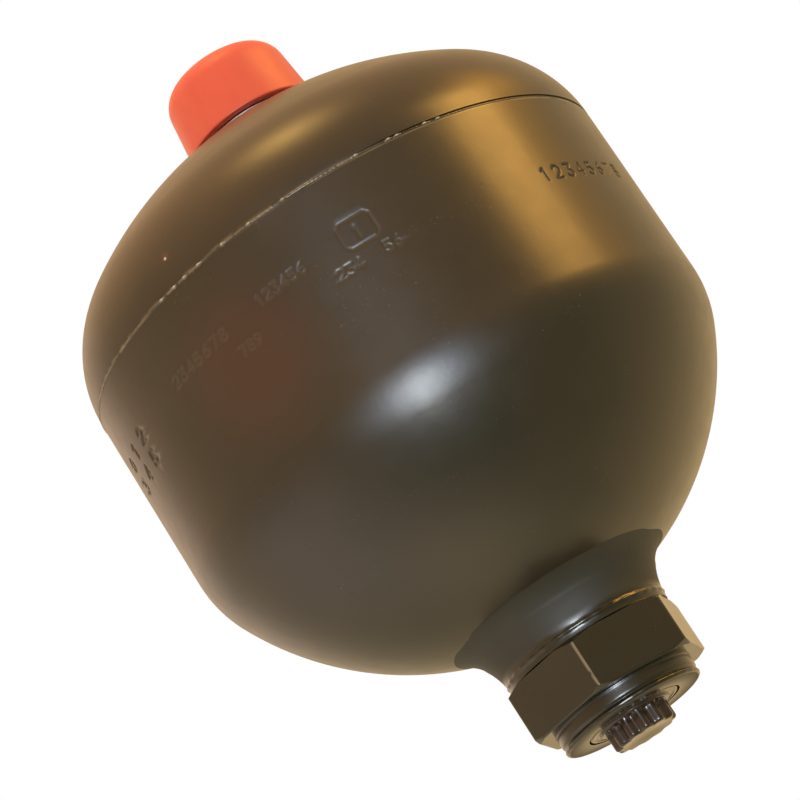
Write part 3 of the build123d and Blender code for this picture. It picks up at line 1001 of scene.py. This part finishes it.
@dataclass
class PortEnd:
    """The fluid port: the hexagon fitting, its weld to the shell and the plug in its mouth."""

    finishes: Finishes
    lower: Head
    spigot: float = 21.8
    neck: float = 20.8
    shoulder: float = 23.0
    shoulder_z: float = 27.0
    top_z: float = 34.0
    bead_z: float = 1.7
    bead_rise: float = 0.26
    bead_size: float = 0.45
    ridge: float = 23.3
    ridge_rise: float = 0.7
    toe: float = 28.1
    hollow: float = 0.35
    ripples: int = 84
    ripple_depth: float = 0.016
    sag: float = 0.12
    collar: float = 17.8
    collar_flare: float = 0.15
    lip: float = 0.75
    groove_z: float = 1.5
    groove_depth: float = 0.4
    groove_size: float = 0.42
    recess: float = 12.015
    recess_depth: float = 1.2
    mouth: float = 10.615
    mouth_depth: float = 5.0
    bore: float = 9.315
    bore_end: float = 20.0
    thread_pitch: float = 1.814
    thread_depth: float = 0.9
    drill_end: float = 22.593
    passage: float = 5.0
    passage_flare: float = 1.5
    flange: float = 11.615
    flange_round: float = 0.45
    web: float = 1.0
    shank: float = 10.535
    shank_end: float = 4.6
    shank_hollow: float = 8.235
    knob: float = 8.0
    knob_length: float = 5.3
    knob_round: float = 0.8
    dish: float = 0.5
    flutes: int = 12
    flute_depth: float = 0.9
    lumps: int = 35
    lump_start: float = -77.0
    lump_rise: float = 0.06
    hexagon: Hexagon = field(default_factory=Hexagon)

    def build_weld(self) -> None:
        """Makes the fillet weld: a ridge and a hollow face with faint ripples under the paint.

        The ripples are a sine of the angle that leans across the face and fades at its edges.
        """
        ridge = (self.ridge, self.shoulder_z + self.ridge_rise)
        steps = np.linspace(0, 1, 15)[:, None]
        face = line(ridge, (self.toe, self.lower.height(self.toe)), 14)
        face += np.array((-1.0, 1.0)) * self.hollow * 4 * steps * (1 - steps)
        under = line((self.shoulder, self.shoulder_z), ridge, 4)
        seat = self.lower.seat(self.toe, self.spigot)
        profile = chain((self.spigot, self.shoulder_z), under, face, seat)
        turns = even_turns(672)
        angle, radius, _ = spread(profile, turns)
        share = eased((radius - self.shoulder) / (self.toe - self.shoulder))
        wave = 0.5 + 0.5 * np.sin(self.ripples * angle + 5 * share + 1.2 * np.sin(6 * angle))
        move = self.ripple_depth * wave * np.sin(np.pi * share)
        move += self.sag * np.sin(4 * angle + 1) * share * (1 - share)
        move[:2] = move[len(under) + len(face) - 1:] = 0
        build_piece("port_weld_bead", lathe(profile, turns, move), "port_weld",
                    self.finishes.fitting_paint, dull=np.ones(angle.shape))

    def neck_run(self) -> Array:
        """Profile of the neck: an arc that leaves the hexagon upright, with a bead at its foot.

        The bead adds 0.26 e^-((t - 1.7) / 0.45)^2 at the height t above the hexagon.

        Returns:
            (radius, height) points from the shoulder down to the hexagon.
        """
        rise, flare = self.shoulder_z - self.hexagon.top, self.shoulder - self.neck
        bend = (rise ** 2 + flare ** 2) / (2 * flare)
        near = 2 * self.bead_z
        up = np.r_[np.linspace(rise, near, 20, endpoint=False), np.linspace(near, 0, 30)]
        radius = self.neck + bend - np.sqrt(bend ** 2 - up ** 2)
        radius += self.bead_rise * bell(up - self.bead_z, self.bead_size)
        return np.stack([radius, self.hexagon.top + up], 1)

    def collar_run(self) -> Array:
        """Profile of the collar: a cylinder with a shallow groove and a rounded lip at the mouth.

        The radius falls by 0.4 e^-((z - 1.5) / 0.42)^2 at the groove, and the lip is an arc.

        Returns:
            (radius, height) points from the hexagon down to the end face.
        """
        heights = np.linspace(self.hexagon.bottom, self.lip, 34)
        side = self.collar - self.groove_depth * bell(heights - self.groove_z, self.groove_size)
        side += self.collar_flare * bell(heights - self.hexagon.bottom, 0.3)
        rim = arc((self.collar - self.lip, self.lip), self.lip, 0, -QUARTER, 8)
        return chain(np.stack([side, heights], 1), rim)

    def build_fitting(self) -> None:
        """Makes the fitting: every row is turned, and the hexagon's rows are cut to its outline.

        A row of the hexagon lies at min(its turned radius, outline - ease), so that the chamfer
        cones and the flats meet where they do on a real bar.
        """
        shape = self.hexagon
        neck, collar = self.neck_run(), self.collar_run()
        bar = shape.run(self.collar + self.collar_flare)
        mouth_end = self.mouth_depth + self.mouth - self.bore
        inside = [
            (self.recess, 0.0), (self.recess, self.recess_depth), (self.mouth, self.recess_depth),
            (self.mouth, self.mouth_depth), (self.bore, mouth_end)]
        thread = line(inside[-1], (self.bore, self.bore_end), 80)[1:]
        rest = [
            (self.passage, self.drill_end), (self.passage, self.top_z - self.passage_flare),
            (self.passage + self.passage_flare, self.top_z), (self.spigot, self.top_z),
            (self.spigot, self.shoulder_z)]
        profile = np.concatenate([neck, bar, collar, inside, thread, rest])
        bar_end = len(neck) + len(bar)
        collar_end = bar_end + len(collar)
        angle, radius, height = spread(profile, shape.turns())
        row = np.arange(len(profile))[:, None]

        cut = slice(len(neck), bar_end)
        outline = shape.outline(angle[cut]) - shape.drawn_in(height[cut])
        radius[cut] = np.minimum(radius[cut], outline)
        lumps = np.cos(self.lumps * (angle - math.radians(self.lump_start)))
        bead = bell(height - shape.top - self.bead_z, 0.6) + 0.5 * bell(height - 0.5, 0.6)
        radius += self.lump_rise * lumps * bead * (row < collar_end - 2)
        start = collar_end + len(inside)
        cut = slice(start, start + len(thread))
        groove = thread_groove(angle[cut], height[cut], self.bore_end, self.thread_pitch, 1.1)
        radius[cut] += self.thread_depth * groove * eased((self.bore_end - height[cut]) / 1.2)

        # Painted highlight: only the hexagon corner at -90 degrees, facing the camera, gets the
        # light edge tint, a highlight line along that corner rather than wear on every corner.
        front_glint_corner = np.cos(angle + QUARTER) > 0.98
        # Painted shade: the collar's end face round the plug is darkened nearly to black, with
        # rougher paint.
        end_face = (height < TINY) * (radius < self.collar - self.lip + 0.05)
        build_piece("port_fitting_body", turned(angle, radius, height), "port_fitting",
                    self.finishes.fitting_paint,
                    dull=(row < len(neck)) * eased((height - shape.top - 2.6) / 1.6),
                    edge=front_glint_corner * eased((radius - shape.corner + 0.25) / 0.06),
                    pit=0.85 * end_face * eased((radius - self.recess) / 0.4))

    def build_plug(self) -> None:
        """Makes the plug: hollow shank, flange with a rounded rim, and a knob with soft flutes.

        A knob's row lies at r - depth (0.5 + 0.5 cos (flutes a)) ^ 1.2, eased in below the flange.
        """
        web, seat, edge = self.recess_depth + self.web, self.recess_depth, self.knob_round
        end, inner, rim_round = -self.knob_length, self.knob - edge, self.flange_round
        side = line((self.knob, -rim_round), (self.knob, end + edge), 10)
        rim = arc((inner, end + edge), edge, 0, -QUARTER, 8)
        dish = np.linspace(inner, 0, 9)
        bottom = np.stack([dish, end + self.dish * (1 - (dish / inner) ** 2) ** 2], 1)
        profile = chain(
            (0.0, web), (self.shank_hollow, web), (self.shank_hollow, self.shank_end),
            (self.shank - 1.0, self.shank_end), (self.shank, self.shank_end - 1.0),
            (self.shank, seat), (self.flange, seat), (self.flange, rim_round),
            arc((self.flange - rim_round, rim_round), rim_round, 0, -QUARTER, 5),
            arc((9.9, 0.0), 0.8, 0, math.pi, 10) * (1, 0.3),
            arc((8.6, 0.0), 0.5, 0, -QUARTER, 4), side, rim, bottom)
        angle, radius, height = spread(profile, even_turns(360))
        grip = (0.5 + 0.5 * np.cos(self.flutes * angle)) ** 1.2 * self.flute_depth
        move = grip * eased((-0.4 - height) / 0.5) * eased((radius - inner + 0.6) / 0.6)
        move[:len(profile) - len(bottom) - len(rim) - len(side) + 2] = 0
        build_piece("port_plug_moulding", turned(angle, radius - move, height), "port_plug",
                    self.finishes.plug, Slot.PLUG, Body.PLUG, closed=False)

    def build(self) -> None:
        """Builds the weld, the fitting and the plug."""
        self.build_weld()
        self.build_fitting()
        self.build_plug()


# ---- Gas side ----


@dataclass
class GasValve:
    """The gas side: boss with cap thread, its weld, the screw with its seal, and the cap."""

    finishes: Finishes
    upper: Head
    wall: float
    spigot: float = 11.0
    shoulder: float = 15.0
    shoulder_height: float = 3.0
    shoulder_edge: float = 0.4
    height: float = 16.8
    thread: float = 14.0
    thread_edge: float = 0.9
    pitch: float = 1.5
    thread_depth: float = 0.92
    undercut: float = 12.7
    undercut_width: float = 1.5
    pocket: float = 8.5
    pocket_depth: float = 9.1
    screw_bore: float = 4.05
    screw_depth: float = 12.0
    gas_hole: float = 1.6
    weld_toe: float = 18.2
    weld_drop: float = 0.7
    ripples: int = 52
    ripple_depth: float = 0.12
    cap_bore: float = 14.12
    cap_lead: float = 0.8
    cap_base: float = 17.0
    cap_top: float = 15.15
    cap_roof: float = 2.2
    cap_headroom: float = 2.8
    cap_edge: float = 6.5
    cap_corner: float = 3.25
    cap_thread_depth: float = 0.5
    rim_round: float = 0.5

    def __post_init__(self) -> None:
        """Works out the heights of the seat on the crown and of the shoulder."""
        self.seat = self.upper.height(self.spigot)
        self.shoulder_z = self.seat + self.shoulder_height

    def build_boss(self) -> None:
        """Makes the boss, with a real helical thread."""
        bottom, shoulder = self.upper.height(self.spigot, self.wall), self.shoulder_z
        top, edge = self.seat + self.height, self.shoulder_edge
        floor = top - self.pocket_depth
        start = shoulder + self.undercut_width + 0.4
        profile = chain(
            (self.gas_hole, bottom), (self.spigot, bottom), (self.spigot, self.seat),
            (self.shoulder, self.seat), (self.shoulder, shoulder - edge),
            (self.shoulder - edge, shoulder), (self.undercut, shoulder),
            (self.undercut, shoulder + self.undercut_width),
            line((self.thread, start), (self.thread, top - self.thread_edge), 72),
            (self.thread - self.thread_edge, top), (self.pocket, top), (self.pocket, floor),
            (self.screw_bore, floor), (self.screw_bore, floor - self.screw_depth),
            (self.gas_hole, floor - self.screw_depth))
        turns = even_turns(180)
        angle, radius, height = spread(profile, turns)
        on_thread = (radius > self.thread - TINY) & (height > start - TINY)
        move = -self.thread_depth * thread_groove(angle, height, start, self.pitch) * on_thread
        build_piece("gas_boss_threaded", lathe(profile, turns, move), "gas_boss",
                    self.finishes.zinc, Slot.ZINC)

    def build_weld(self) -> None:
        """Makes the small fillet weld round the boss, with ripples on its face."""
        high, drop = self.shoulder_z - self.weld_drop, self.weld_drop
        bend = (self.shoulder + drop, high - drop)
        toe = (self.weld_toe, self.upper.height(self.weld_toe))
        face = chain(line((self.shoulder, high), bend, 3), line(bend, toe, 8))
        under = self.upper.seat(self.weld_toe, self.spigot)
        profile = chain((self.shoulder, self.seat), face, under)
        turns = even_turns(416)
        angle, radius, _ = spread(profile, turns)
        share = eased((radius - self.shoulder) / (self.weld_toe - self.shoulder))
        wave = 0.5 + 0.5 * np.sin(self.ripples * angle + 4 * share)
        move = -self.ripple_depth * wave * np.sin(np.pi * share)
        move[0] = move[len(face):] = 0
        build_piece("gas_boss_weld_bead", lathe(profile, turns, move), "gas_boss_weld",
                    self.finishes.paint)

    def build_cap(self) -> None:
        """Makes the cap: a tapered cup with a rounded top edge, a gate mark and an inner thread.

        Two mould lines stand out of its side, as e^-(distance / 0.22)^2.
        """
        base, edge = self.shoulder_z, self.cap_edge
        roof = self.seat + self.height + self.cap_headroom
        top = roof + self.cap_roof
        lean = math.atan2(self.cap_base - self.cap_top, top - base)
        centre = (self.cap_top - edge * math.tan((QUARTER - lean) / 2), top - edge)
        corner = (self.cap_bore - self.cap_corner, roof - self.cap_corner)
        rim_centre = (self.cap_base - self.rim_round, base + self.rim_round)
        rim = arc(rim_centre, self.rim_round, -QUARTER, lean, 5)
        wall_top = np.array(centre) + edge * np.array((math.cos(lean), math.sin(lean)))
        lead = (self.cap_bore + self.cap_lead, base)
        gate = np.array([(2.2, top), (2.0, top - 0.25), (1.3, top - 0.25), (1.1, top), (0.0, top)])
        outer = chain(
            lead, rim, line(rim[-1], wall_top, 24), arc(centre, edge, lean, QUARTER, 14),
            line((centre[0], top), gate[0], 5), gate)
        thread = line((self.cap_bore, corner[1]), (self.cap_bore, base + self.cap_lead), 80)
        inner = chain((0.0, roof), arc(corner, self.cap_corner, QUARTER, 0, 8), thread)
        profile, turns = np.concatenate([outer, inner]), even_turns(240)
        angle, radius, height = spread(profile, turns)
        parting = bell((angle % math.pi - 1.1) * radius, 0.22)
        on_side = eased((height - base - 1) / 2) * eased((top - 1.5 - height) / 2)
        groove = thread_groove(angle, height, base, self.pitch)
        on_bore = np.abs(radius - self.cap_bore) < TINY
        groove = groove * on_bore * (height < corner[1] - 1) * (height > base + 1)
        outside = np.arange(len(profile))[:, None] < len(outer)
        move = np.where(outside, 0.06 * parting * on_side, -self.cap_thread_depth * groove)
        build_piece("valve_cap_moulding", lathe(profile, turns, move), "valve_cap",
                    self.finishes.cap, Slot.CAP, Body.CAP)

    def build(self) -> None:
        """Builds the boss, its weld and the cap, and dresses the screw and its seal."""
        self.build_boss()
        self.build_weld()
        self.build_cap()
        dress("charging_screw", self.finishes.zinc)
        dress("charging_seal", self.finishes.seal)


# ---- Bladder ----


@dataclass
class Bladder:
    """The rubber bag with its bead, the closing plate and the ring that clamps the bead."""

    finishes: Finishes
    vessel: Vessel
    gap: float = 0.25
    wall: float = 2.6
    bead_width: float = 4.6
    bead_height: float = 6.0
    bead_chamfer: float = 1.0
    floor_z: float = 37.0
    stem: float = 4.0
    lift: float = 45.0

    def flat_radius(self, inside: float) -> float:
        """Radius where the crown, moved inwards, meets the bag's flat bottom."""
        lower = self.vessel.lower
        return math.sqrt((lower.crown - inside) ** 2 - (lower.centre - self.floor_z) ** 2)

    def build_bag(self) -> None:
        """Makes the bag."""
        vessel, ledge, bottom = self.vessel, self.vessel.ledge_z, self.vessel.band_bottom
        outside = vessel.wall + self.gap
        inside, roof = outside + self.wall, self.floor_z + self.wall
        flat = self.flat_radius(outside)
        outer, inner = vessel.radius - outside, vessel.radius - inside
        lining = vessel.lower.run(flat - 0.5, inside, (24, 20))[::-1]
        bag = chain(
            line((outer, ledge), (outer, bottom), 8), vessel.lower.run(flat, outside, (24, 20)),
            line((flat, self.floor_z), (self.stem, self.floor_z), 6), (self.stem, roof),
            lining[lining[:, 1] > roof], line((inner, bottom), (inner, ledge), 8))
        piece = build_piece("bladder_bag", lathe(bag, even_turns(180)), "bladder",
                            self.finishes.bladder, Slot.BLADDER)
        keep = 1 - self.lift / (ledge - self.floor_z)
        ledge * MM
        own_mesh(piece)

    def build_bead(self) -> None:
        """Makes the bead, chamfered at the top, that lies on the vessel's ledge."""
        outer, ledge, cut = self.vessel.counterbore, self.vessel.ledge_z, self.bead_chamfer
        inner, top = outer - self.bead_width, ledge + self.bead_height
        bead = chain(
            (inner, ledge), (outer, ledge), (outer, top - cut), (outer - cut, top), (inner, top))
        build_piece("bladder_bead", lathe(bead, even_turns(180)), "bladder",
                    self.finishes.bladder, Slot.BLADDER)

    def build(self) -> None:
        """Builds the bag and its bead, and dresses the plate and the clamp ring."""
        self.build_bag()
        self.build_bead()
        dress("closing_plate", self.finishes.inner)
        dress("clamp_ring", self.finishes.inner)


# ---- Studio ----


def direction(azimuth: float, elevation: float) -> Vector:
    """Unit vector towards an azimuth and an elevation in degrees."""
    turn, rise = math.radians(azimuth), math.radians(elevation)
    return Vector((
        math.cos(rise) * math.cos(turn), math.cos(rise) * math.sin(turn), math.sin(rise)))


@dataclass(frozen=True)
class Viewpoint:
    """Where the camera stands, angles in degrees and distances in metres."""

    azimuth: float = -82.8
    elevation: float = -16.828
    distance: float = 0.74187
    target_z: float = 0.0893
    roll: float = 33.073
    pan: float = 0.4435
    tilt: float = 0.2257
    focal_length: float = 143.067

    def camera(self) -> None:
        """Makes the scene's camera, turned in place by its pan, tilt and roll in that order."""
        away = direction(self.azimuth, self.elevation)
        right = -away.cross(Vector((0, 0, 1))).normalized()
        axes = {"forward": -away, "right": right, "up": away.cross(right)}
        for name, angle in (("up", self.pan), ("right", self.tilt), ("forward", self.roll)):
            turn = Quaternion(axes[name], math.radians(angle))
            axes = {key: turn @ axis for key, axis in axes.items()}
        data = bpy.data.cameras.new("studio_camera")
        data.lens, data.sensor_width, data.sensor_fit = self.focal_length, 36.0, "HORIZONTAL"
        data.clip_start, data.clip_end = 0.01, 20.0
        camera = new_object("studio_camera", data)
        facing = Matrix((axes["right"], axes["up"], -axes["forward"])).transposed()
        camera.matrix_world = facing.to_4x4()
        camera.location = away * self.distance + Vector((0, 0, self.target_z))
        bpy.context.scene.camera = camera


class LampShape(Enum):
    """Outline of a lamp's face."""

    RECTANGLE = "RECTANGLE"
    ELLIPSE = "ELLIPSE"


@dataclass(frozen=True)
class Softbox:
    """A flat lamp, for gloss only, that faces the vessel from a direction given in degrees."""

    name: str
    shape: LampShape
    azimuth: float
    elevation: float
    distance: float
    width: float
    height: float
    radiance: Colour
    target_z: float = 0.09

    def lamp(self) -> None:
        """Makes the lamp; its power is radiance x width x height x pi, x pi / 4 for an ellipse."""
        data = bpy.data.lights.new(self.name, "AREA")
        data.shape, data.size, data.size_y = self.shape.value, self.width, self.height
        level = max(self.radiance)
        data.color = tuple(part / level for part in self.radiance)
        fill = math.pi / 4 if self.shape is LampShape.ELLIPSE else 1.0
        data.energy = level * self.width * self.height * fill * math.pi
        lamp = new_object(self.name, data)
        away = direction(self.azimuth, self.elevation)
        lamp.matrix_world = away.to_track_quat("Z", "Y").to_matrix().to_4x4()
        lamp.location = away * self.distance + Vector((0, 0, self.target_z))
        lamp.visible_diffuse = lamp.visible_camera = False


@dataclass(frozen=True)
class Glow:
    """A soft glow of the room that gloss reflects: its direction and spread in degrees, and colour.

    It falls off with the angle from its direction: e to the (cosine - 1) / (1 - cos spread).
    """

    azimuth: float
    elevation: float
    spread: float
    colour: Colour

    def share(self, s: Shader, towards: Value) -> Value:
        """Share of the glow's colour, 0 to 1, in the direction that is looked in."""
        cosine = s.vector("DOT_PRODUCT", towards, direction(self.azimuth, self.elevation), output=1)
        return ((cosine - 1) * (1 / (1 - math.cos(math.radians(self.spread))))).exp()


@dataclass
class Studio:
    """Floor, backdrop, lamps and camera."""

    floor_z: float = -0.42
    floor_half: float = 4.0
    floor_pale: Colour = (0.74, 0.69, 0.58)
    floor_dark: Colour = (0.70, 0.65, 0.54)
    room: Colour = (0.0, 0.143, 0.097)
    glows: tuple[Glow, ...] = (
        Glow(-120.4, 72.4, 74.3, (1.92, 0.896, 0.384)),
        Glow(-63.0, 74.2, 9.5, (12.1, 7.2, 1.98)),
        Glow(20.7, 31.2, 10.6, (4.38, 1.80, 0.04)),
        Glow(133.3, 9.7, 23.9, (0.66, 0.504, 0.475)),
        Glow(-168.5, -34.3, 33.8, (1.24, 0.946, 0.875)),
        Glow(63.6, -21.6, 52.3, (1.03, 0.641, 0.295)),
        Glow(-81.6, -11.9, 15.2, (5.7, 7.15, 9.6)),
        Glow(-168.5, -79.8, 25.3, (1.06, 0.80, 0.51)),
    )
    ambient: Colour = (0.95, 0.90, 0.82)
    white: Colour = (1.0, 1.0, 1.0)
    lamps: tuple[Softbox, ...] = (
        Softbox("key_softbox", LampShape.ELLIPSE, -82.2, -16.8, 1.1, 0.243, 0.665,
                (16.0, 16.7, 16.6)),
        Softbox("warm_card", LampShape.RECTANGLE, -3.6, 24.6, 1.0, 0.40, 0.33, (12.3, 6.3, 1.3)),
    )

    def build_floor(self) -> None:
        """Makes the pale floor, a flat square well below the hung vessel."""
        material, s, p = new_material("studio_floor")
        grain = s.noise(p, 60.0, 3.0)
        s.surface(Base_Color=s.mix(grain, self.floor_dark, self.floor_pale), Roughness=0.7)
        half, z = self.floor_half, self.floor_z
        corners = [(-half, -half, z), (half, -half, z), (half, half, z), (-half, half, z)]
        mesh = bpy.data.meshes.new("studio_floor")
        mesh.from_pydata(corners, [], [(0, 1, 2, 3)])
        mesh.materials.append(material)
        floor = new_object("studio_floor", mesh)
        floor.visible_glossy = False

    def build_world(self) -> None:
        """Makes the world: white where it is seen, a warm room in reflections, soft elsewhere."""
        world = bpy.data.worlds.new("studio_world")
        world.use_nodes = True
        bpy.context.scene.world = world
        s = Shader(world.node_tree)
        seen, mirrored, through = (
            s.node("ShaderNodeLightPath", {}, {}, f"Is {kind} Ray")
            for kind in ("Camera", "Glossy", "Transmission"))
        towards = s.node("ShaderNodeTexCoord", output="Generated")
        room: Any = self.room
        for glow in self.glows:
            room = s.vector("ADD", room, s.scaled(glow.colour, glow.share(s, towards)))
        colour = s.mix(seen, s.mix(mirrored + through, self.ambient, room), self.white)
        back = s.node("ShaderNodeBackground", {}, {"Color": colour, "Strength": 1.0})
        s.node("ShaderNodeOutputWorld", {}, {"Surface": back})

    def build(self) -> None:
        """Sets up the whole studio."""
        self.build_floor()
        self.build_world()
        for lamp in self.lamps:
            lamp.lamp()
        Viewpoint().camera()
        bpy.context.scene.view_settings.view_transform = "Standard"
        LOG.info("studio: %d lamps", len(self.lamps))


def main() -> None:
    """Builds every sub-assembly in order, then the studio."""
    logging.basicConfig(level=logging.INFO, format="%(name)s: %(message)s")
    finishes = Finishes.build()
    vessel = Vessel(finishes)
    port, valve = PortEnd(finishes, vessel.lower), GasValve(finishes, vessel.upper, vessel.wall)
    for assembly in (vessel, port, valve, Bladder(finishes, vessel), Studio()):
        assembly.build()


if __name__ == "__main__":
    main()
